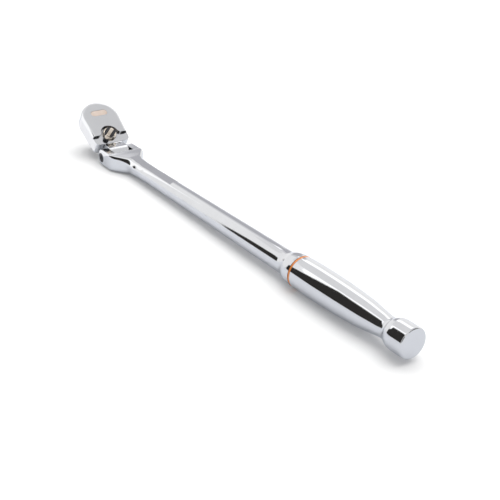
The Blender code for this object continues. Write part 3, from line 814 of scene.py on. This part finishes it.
@dataclass
class RatchetHead:
    """Teardrop housing with its lower flat, lever recess and hinge tang, in head millimetres."""

    radius: float = 18.9
    drive_u: float = field(default_factory=lambda: in_head("drive_turn"))
    lever_u: float = field(default_factory=lambda: in_head("lever_turn"))
    rear_u: float = 11.5
    rear_half_width: float = 17.4
    corner: float = 4.0
    top: float = 6.6
    bottom: float = -8.6
    rim: float = 2.9
    step_top: float = 4.2
    step_u: float = 20.5
    bay_radius: float = 8.7
    flare: float = 4.0
    tang_radius: float = 8.2
    tang_half_width: float = 9.3
    tang_arc: Pair = (64, -82)
    tang_bore: float = 4.3
    neck_top: tuple[Pair, ...] = ((10.3, 4.05), (16.0, 3.9))
    neck_low: tuple[Pair, ...] = ((16.0, -6.9),)
    cover_inset: float = 2.3
    pocket_top: float = 1.2
    pawl_radius: float = 17.2
    pawl_limit: float = 8.1
    bores: tuple[Bore, ...] = (
        Bore("gear_pocket", "drive_turn", 12.1, 1.2), Bore("pilot_bore", "drive_turn", 6.3, 4.0),
        Bore("selector_pocket", "lever_turn", 4.4, 1.2),
        Bore("selector_bore", "lever_turn", 2.9, CLEAR),
        Bore("pawl_pin_hole", "pawl_rock", 1.3, 2.6, 0.0))
    screws: tuple[Pair, ...] = (
        (16.8, 10.4), (16.8, -10.4), (51.7, 10.2), (51.7, -10.2))
    screw_radius: float = 1.5
    broken_edge: float = 0.22

    def outline(self, name: str, inset: float = 0.0) -> Piece:
        """A flat teardrop face at height 0, left open in edit mode.

        Args:
            name: object name.
            inset: how far inside the housing's own outline it runs.

        Returns:
            The new object.
        """
        radius = self.radius - inset
        rear_u = self.rear_u + inset
        rear_v = self.rear_half_width - inset
        back = rear_u - self.drive_u
        tangent = math.atan2(rear_v, back) - math.acos(radius / math.hypot(back, rear_v))
        piece = Bench.blank(name)
        bpy.ops.mesh.primitive_circle_add(vertices=240, radius=radius,
                                          location=(self.drive_u, 0, 0))
        limit = self.drive_u + radius * math.cos(tangent)
        Bench.select_verts(lambda at: at.x < limit - 0.02)
        bpy.ops.mesh.delete(type="VERT")
        places = [v.co.copy() for v in bmesh.from_edit_mesh(piece.data).verts]
        ends = max(abs(at.y) for at in places if at.x < limit + 0.55)
        low = min(at.x for at in places)
        for side in SIDES:
            Bench.select_verts(lambda at, side=side: at.x < low + 0.01 and at.y * side > 0)
            Bench.extrude((rear_u - low, side * (rear_v - ends), 0))
        Bench.select_verts(lambda at: at.x < rear_u + 0.5)
        bpy.ops.mesh.edge_face_add()
        bpy.ops.mesh.select_all(action="SELECT")
        bpy.ops.mesh.edge_face_add()
        Bench.select_verts(lambda at: at.x < rear_u + 0.5)
        Bench.bevel(self.corner - 0.6 * inset, 14, corners=True)
        return piece

    def body(self) -> Piece:
        """The rounded teardrop block."""
        piece = self.outline("head_block")
        Bench.raise_face(self.bottom, self.top)
        Bench.outwards()
        Bench.select_rims(lambda normal: normal.z > 0.9)
        Bench.bevel(self.rim, 9)
        Bench.select_rims(lambda normal: normal.z < -0.9)
        Bench.bevel(1.5, 5)
        Bench.close()
        return piece

    def step(self, piece: Piece) -> None:
        """Mill the lower flat and a round bay about the lever that flares out into the step."""
        Bench.cut(piece, Bench.box("lower_flat", (-CLEAR, -CLEAR, self.step_top),
                                   (self.step_u, CLEAR, CLEAR)))
        Bench.cut(piece, Bench.cylinder("lever_bay", self.bay_radius, self.step_top, CLEAR, 160,
                                        (self.lever_u, 0)))
        flare_u = self.step_u + self.flare
        reach = self.bay_radius + self.flare
        flare_v = math.sqrt(reach ** 2 - (flare_u - self.lever_u) ** 2)
        meet = self.lever_u + (flare_u - self.lever_u) * self.bay_radius / reach
        for side in SIDES:
            near, far = sorted((side * flare_v, side * (self.bay_radius - 2.0)))
            web = Bench.box("flare_web", (self.step_u - 0.5, near, self.step_top),
                            (meet, far, CLEAR))
            Bench.cut(web, Bench.cylinder("flare", self.flare, 0, CLEAR + 5, 96,
                                          (flare_u, side * flare_v)))
            Bench.cut(piece, web)

    def tang(self) -> Piece:
        """Hinge barrel about the pin with a neck into the housing."""
        piece = Bench.blank("tang")
        bpy.ops.mesh.primitive_circle_add(vertices=180, radius=self.tang_radius,
                                          location=(0, 0, 0))
        first, last = (math.radians(angle) for angle in self.tang_arc)
        Bench.select_verts(lambda at: last + 0.01 < math.atan2(at.y, at.x) < first - 0.01)
        bpy.ops.mesh.delete(type="VERT")
        for angle, path in ((first, self.neck_top), (last, self.neck_low)):
            here = Vector((math.cos(angle), math.sin(angle), 0)) * self.tang_radius
            Bench.select_verts(lambda at, start=here: (at - start).length < 0.12)
            for u, h in path:
                Bench.extrude((u - here.x, h - here.y, 0))
                here = Vector((u, h, 0))
        Bench.select_verts(lambda at: at.x > 15.5)
        bpy.ops.mesh.edge_face_add()
        bpy.ops.mesh.select_all(action="SELECT")
        bpy.ops.mesh.edge_face_add()
        Bench.raise_face(-self.tang_half_width, self.tang_half_width)
        Bench.outwards()
        Bench.select_rims(lambda normal: abs(normal.z) > 0.9)
        Bench.bevel(0.6, 3)
        Bench.close()
        return Bench.lay(piece, (RIGHT_ANGLE, 0, 0))

    def pockets(self, piece: Piece) -> None:
        """Hollow the housing for the mechanism and the cover, from below."""
        seat = self.outline("cover_seat", self.cover_inset)
        Bench.raise_face(-CLEAR, self.bottom + self.cover_inset)
        Bench.close()
        Bench.cut(piece, seat)
        rocker = Bench.cylinder("pawl_pocket", self.pawl_radius, -CLEAR, self.pocket_top, 120,
                                (self.drive_u, 0))
        Bench.cut(rocker, Bench.box("pawl_limit", (0, -CLEAR, -CLEAR),
                                    (self.drive_u - self.pawl_limit, CLEAR, CLEAR)), Mode.KEEP)
        Bench.cut(piece, rocker)
        for bore in self.bores:
            Bench.cut(piece, Bench.cylinder(bore.name, bore.radius, bore.low, bore.high, 72,
                                            (in_head(bore.joint), 0)))
        for place in self.screws:
            Bench.cut(piece, Bench.cylinder("screw_hole", self.screw_radius, -CLEAR, -1.0, 32,
                                            place))

    def build(self, finishes: Finishes) -> None:
        """Shape, machine and dress the housing."""
        piece = self.body()
        self.step(piece)
        Bench.cut(piece, self.tang(), Mode.JOIN)
        self.pockets(piece)
        Bench.cut(piece, Badge().shape("badge_seat", 0.12, self.top - 0.5, CLEAR))
        bore = Bench.cylinder("tang_bore", self.tang_bore, -CLEAR, CLEAR, 64)
        Bench.cut(piece, Bench.lay(bore, (RIGHT_ANGLE, 0, 0)))
        Bench.soften(piece, self.broken_edge)
        Bench.finish(piece, "head_forged", HEAD)
        dress(piece, finishes.head_chrome, "head", "polished_chrome", "head_housing")


@dataclass
class Badge:
    """Plain rounded bar of coloured enamel let into the top face."""

    u: float = 46.5
    half_length: float = 8.2
    half_width: float = 3.1
    top: float = 6.6

    def shape(self, name: str, clearance: float, low: float, high: float) -> Piece:
        """The bar as a block between two heights, its ends round."""
        reach_v = self.half_length + clearance
        reach_u = self.half_width + clearance
        piece = Bench.blank(name)
        bpy.ops.mesh.primitive_plane_add(size=2.0, location=(self.u, 0, 0))
        bpy.ops.transform.resize(value=(reach_u, reach_v, 1), center_override=(self.u, 0, 0))
        Bench.bevel(reach_u * 0.97, 12, corners=True)
        Bench.raise_face(low, high)
        Bench.close()
        return piece

    def build(self, finishes: Finishes) -> None:
        """Fill the seat just under the face."""
        piece = self.shape("bar", 0.0, self.top - 0.45, self.top - 0.06)
        Bench.soften(piece, 0.12)
        Bench.finish(piece, "top_badge", HEAD)
        dress(piece, finishes.badge, "head", "orange_enamel", "badge_inlay")


@dataclass
class Lever:
    """Reversing lever: domed hub, raised thumb rib and finger tail, in lever millimetres."""

    radius: float = 6.5
    base: float = 4.5
    height: float = 3.6
    dome: float = 2.4
    tail_reach: float = 10.6
    tail_half_width: float = 2.7
    tail_height: float = 2.7
    tip_round: float = 2.3
    # Length of the tail's tip that turns black, a painted dark reflection.
    tip_painted_reflection: float = 2.6
    groove_radius: float = 1.5
    groove_y: float = 3.1
    groove_lift: float = 0.2
    shaft_radius: float = 2.3
    shaft_depth: float = 1.8
    rest_angle: float = math.radians(131)

    def build(self, finishes: Finishes) -> None:
        """Shape the hub and tail, mill the thumb grooves and drill the shaft's hole."""
        top = self.base + self.height
        hub = Bench.cylinder("lever_hub", self.radius, self.base, top, 120)
        Bench.edit(hub)
        Bench.select_rims(lambda normal: normal.z > 0.9)
        Bench.bevel(self.dome, 9)
        Bench.close()
        tail = Bench.box("lever_tail", (1.0, -self.tail_half_width, self.base),
                         (self.tail_reach, self.tail_half_width, self.base + self.tail_height))
        Bench.edit(tail)
        Bench.select_edges(lambda at: (at.x > self.tail_reach - 0.01
                                       and abs(at.y) > self.tail_half_width - 0.01))
        Bench.bevel(self.tip_round, 10)
        Bench.select_rims(lambda normal: normal.z > 0.9)
        Bench.bevel(1.0, 5)
        Bench.close()
        Bench.cut(hub, tail, Mode.JOIN)
        for side in SIDES:
            Bench.cut(hub, Bench.lay(
                Bench.cylinder("groove", self.groove_radius, -CLEAR, CLEAR, 48),
                (0, RIGHT_ANGLE, 0), (0, side * self.groove_y, top + self.groove_lift)))
        Bench.cut(hub, Bench.cylinder("shaft_hole", self.shaft_radius, 0,
                                      self.base + self.shaft_depth, 48))
        Bench.soften(hub, 0.2, 3, 35.0)
        shift = Matrix.Translation((in_head("lever_turn"), 0, 0))
        place = HEAD @ shift @ Matrix.Rotation(self.rest_angle, 4, "Z")
        dark = self.dark_faces(hub)
        Bench.finish(hub, "thumb_lever", place)
        dress(hub, finishes.nickel, "lever", "warm_nickel", "reversing_lever")
        # Second slot: black on the groove faces, and a painted dark reflection on the tail's tip.
        hub.data.materials.append(finishes.black)
        for index in dark:
            hub.data.polygons[index].material_index = 1

    def dark_faces(self, piece: Piece) -> list[int]:
        """Faces of the thumb grooves, which take the black finish, and of the tail's tip, where the black is a
        painted dark reflection.
        """
        axis_height = self.base + self.height + self.groove_lift
        dark = []
        for face in piece.data.polygons:
            in_groove = math.hypot(abs(face.center.y) - self.groove_y, face.center.z - axis_height)
            at_tip = face.center.x > self.tail_reach - self.tip_painted_reflection
            if at_tip or in_groove < self.groove_radius + 0.05:
                dark.append(face.index)
        return dark


# ---- dressing

def dress(piece: Piece, finish: Finish, body: str, slot: str,
          *nodes: str) -> None:
    """Give a new piece its finish, body, slot and the nodes it stands for.

    Args:
        piece: the finished piece.
        finish: its material.
        body: the body it rides on.
        slot: the record's material slot; not used.
        nodes: the nodes it replaces.
    """
    piece.data.materials.clear()
    piece.data.materials.append(finish)
    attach(piece, body)
    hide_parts(*nodes)
    log.info("%s: %d faces", piece.name, len(piece.data.polygons))


def dress_nodes(names: Iterable[str], finish: Finish) -> None:
    """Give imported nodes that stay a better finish."""
    for name in names:
        node = frame["nodes"][name]
        node.data.materials.clear()
        node.data.materials.append(finish)
        log.info("%s keeps its solid", name)


# ---- studio

def place_in_scene(name: str, data: bpy.types.ID) -> Piece:
    """A new object of that data, linked to the scene."""
    item = bpy.data.objects.new(name, data)
    bpy.context.scene.collection.objects.link(item)
    return item


def glow(sheet: Piece, tone: Sequence[float]) -> None:
    """Make an object a plain light that only reflections see."""
    graph = Graph(sheet.name)
    graph.set(Base_Color=(0, 0, 0, 1), Roughness=1.0, Specular_IOR_Level=0.0,
              Emission_Color=(*tone, 1.0), Emission_Strength=1.0)
    sheet.data.materials.append(graph.material)
    sheet.visible_camera = False
    sheet.visible_diffuse = False
    sheet.visible_shadow = False
    sheet.visible_transmission = False


@dataclass(frozen=True)
class Panel:
    """A near light seen only in reflections, its corners in handle millimetres."""

    name: str
    corners: tuple[tuple[float, ...], ...]
    tone: Triple

    def points(self) -> list[Vector]:
        """The corners in the row frame."""
        return [HANDLE @ Vector(corner) for corner in self.corners]

    def build(self) -> None:
        """Cut the sheet to its outline and hang it."""
        points = self.points()
        mesh = bpy.data.meshes.new(self.name)
        mesh.from_pydata([tuple(p) for p in points], [], [tuple(range(len(points)))])
        glow(place_in_scene(self.name, mesh), self.tone)


@dataclass(frozen=True)
class Card(Panel):
    """A far card, its corners as (degrees from the handle's forward axis, degrees round it).

    The second angle runs from the left side towards the top, so a card covers one patch of
    what the polished handle mirrors.
    """

    distance: float = 3.5

    @staticmethod
    def direction(polar: float, around: float) -> Vector:
        """Unit vector of a corner in the handle's axes."""
        p, a = math.radians(polar), math.radians(around)
        return Vector((math.cos(p), math.sin(p) * math.cos(a), math.sin(p) * math.sin(a)))

    def points(self) -> list[Vector]:
        """The corners in the row frame, on one plane square to the card's middle."""
        rays = [self.direction(*corner) for corner in self.corners]
        middle = sum(rays, Vector()).normalized()
        turn = HANDLE.to_3x3().normalized()
        return [turn @ (ray * (self.distance / ray.dot(middle))) for ray in rays]


@dataclass
class Studio:
    """Pale floor, soft dome, one large soft light and the cards."""

    sky: float = 1.12
    sky_radius: float = 5.0
    ambient: float = 0.62
    floor_size: float = 12.0
    floor_tone: float = 0.95
    mirrored_floor: Triple = (0.76, 0.78, 0.82)
    key_power: float = 18.0
    key_place: Triple = (0.14, -0.38, 1.25)
    key_size: float = 1.9
    cards: tuple[Panel, ...] = (
        Card("dark_flag", ((41, -2), (41.5, 25), (43, 35), (47, 42), (50, 46), (56, 62), (60, 59),
                           (98, 60), (98, -2)), (0.035, 0.033, 0.032)),
        Card("far_left_flag", ((116, 4), (160, 4), (160, 52), (116, 52)), (0.05, 0.05, 0.05)),
        Card("far_right_flag", ((116, 128), (160, 128), (160, 176), (116, 176)),
             (0.05, 0.05, 0.05)),
        Card("far_top_grey", ((122, 60), (160, 60), (160, 120), (122, 120)), (0.75, 0.75, 0.76)),
        Card("flag_edge_light", ((47, 45), (50, 51), (56, 66), (62, 64), (80, 64), (80, 70),
                                 (46, 70)), (1.6, 1.6, 1.62), 3.6),
        Card("right_grey", ((35, 128), (45.6, 125), (45.8, 140), (45.8, 155), (45.6, 175),
                            (35, 178)), (0.58, 0.58, 0.61)),
        Card("right_fade", ((34, 114), (45.6, 110), (45.8, 130), (45.8, 155), (45.6, 182),
                            (34, 186)), (0.85, 0.85, 0.88), 3.6),
        Card("top_grey", ((45, 72), (60, 72), (110, 80), (118, 116), (110, 116), (45, 116)),
             (0.96, 0.96, 0.97)),
        Card("grip_light", ((45, 117), (75, 117), (75, 138), (45, 138)), (1.6, 1.6, 1.62)),
        Card("head_grey", ((80, 98), (120, 98), (120, 152), (80, 152)), (0.82, 0.82, 0.83), 3.0),
        Panel("head_floor_light", ((422, 26, -7), (640, 26, -3.5), (640, 400, -3.5),
                                   (422, 400, -7)), (1.22, 1.22, 1.24)),
        Panel("head_rim_light", ((428, 60, 2), (560, 75, 2), (560, 75, 150), (428, 60, 150)),
              (1.45, 1.45, 1.45)),
    )

    def floor(self, name: str, height: float, tone: Sequence[float], seen: bool) -> None:
        """Lay one matt sheet.

        Args:
            name: object name.
            height: its level in metres.
            tone: its colour.
            seen: True for the sheet the camera sees, False for the one the chrome mirrors.
        """
        bpy.ops.mesh.primitive_plane_add(size=self.floor_size, location=(0, 0, height))
        sheet = bpy.context.object
        sheet.name = name
        graph = Graph(name)
        tooth = graph.noise(900.0, 2.0)
        graph.set(Base_Color=(*tone, 1.0), Roughness=1.0, Specular_IOR_Level=0.0,
                  Normal=graph.bump(tooth, 0.02, 0.00005))
        sheet.data.materials.append(graph.material)
        sheet.visible_camera = seen
        sheet.visible_glossy = not seen
        sheet.visible_diffuse = not seen
        sheet.visible_shadow = False

    def build(self) -> None:
        """Lay the floor, hang the light and the cards, and set the dome."""
        Bench.clear()
        self.floor("studio_floor", 0.0, (self.floor_tone,) * 3, seen=True)
        self.floor("mirrored_floor", -0.0005, self.mirrored_floor, seen=False)
        light = bpy.data.lights.new("soft_key", "AREA")
        light.energy = self.key_power
        light.shape = "DISK"
        light.size = self.key_size
        key = place_in_scene("soft_key", light)
        key.location = self.key_place
        key.rotation_euler = (-key.location).to_track_quat("-Z", "Y").to_euler()
        key.visible_glossy = False
        for card in self.cards:
            card.build()
        bpy.ops.mesh.primitive_uv_sphere_add(segments=48, ring_count=24,
                                             radius=self.sky_radius)
        sky = bpy.context.object
        sky.name = "mirrored_sky"
        glow(sky, (self.sky,) * 3)
        world = bpy.data.worlds.new("soft_dome")
        bpy.context.scene.world = world
        world.use_nodes = True
        background = world.node_tree.nodes["Background"].inputs
        background["Color"].default_value = (1.0, 1.0, 1.0, 1.0)
        background["Strength"].default_value = self.ambient
        bpy.context.scene.view_settings.view_transform = "Standard"
        bpy.context.scene.view_settings.look = "None"


@dataclass
class Camera:
    """Long lens at the tool's three-quarter view, placed in handle millimetres."""

    place: Triple = (-390.432, 412.676, 338.200)
    right: Triple = (-0.57176861, -0.8199796, 0.02672289)
    down: Triple = (-0.37514801, 0.2323441, -0.89737405)
    ahead: Triple = (0.72961951, -0.52311535, -0.44046078)
    lens: float = 72.0
    sensor: float = 36.0

    def build(self) -> None:
        """Set the camera up and make it the scene's own."""
        data = bpy.data.cameras.new("bench_camera")
        data.lens = self.lens
        data.sensor_width = self.sensor
        data.clip_start = 0.01
        camera = place_in_scene("bench_camera", data)
        turn = Matrix((Vector(self.right), -Vector(self.down), -Vector(self.ahead))).transposed()
        spin = HANDLE.to_3x3().normalized() @ turn
        camera.matrix_world = Matrix.Translation(HANDLE @ Vector(self.place)) @ spin.to_4x4()
        bpy.context.scene.camera = camera


# ---- assembly


def main() -> None:
    """Build every sub-assembly in order and set the studio round it."""
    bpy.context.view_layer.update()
    finishes = Finishes.make()
    Camera().build()
    for part in (Handle(), GripBand(), FlexPin(), RatchetHead(), Badge(), Lever()):
        part.build(finishes)
    dress_nodes(("drive_gear",), finishes.head_chrome)
    dress_nodes(("cover_plate", "direction_pawl", "pawl_pin", "selector_shaft",
                           "selector_plunger", "flex_plunger"), finishes.tool_steel)
    dress_nodes(("flex_spring", "selector_spring", "anvil_spring", "anvil_ball",
                           "thrust_washer"), finishes.spring)
    dress_nodes(("flex_washer_left", "flex_washer_right",
                           *(f"cover_screw_{n}" for n in range(1, 5))), finishes.black)
    Studio().build()


if __name__ == "__main__":
    main()
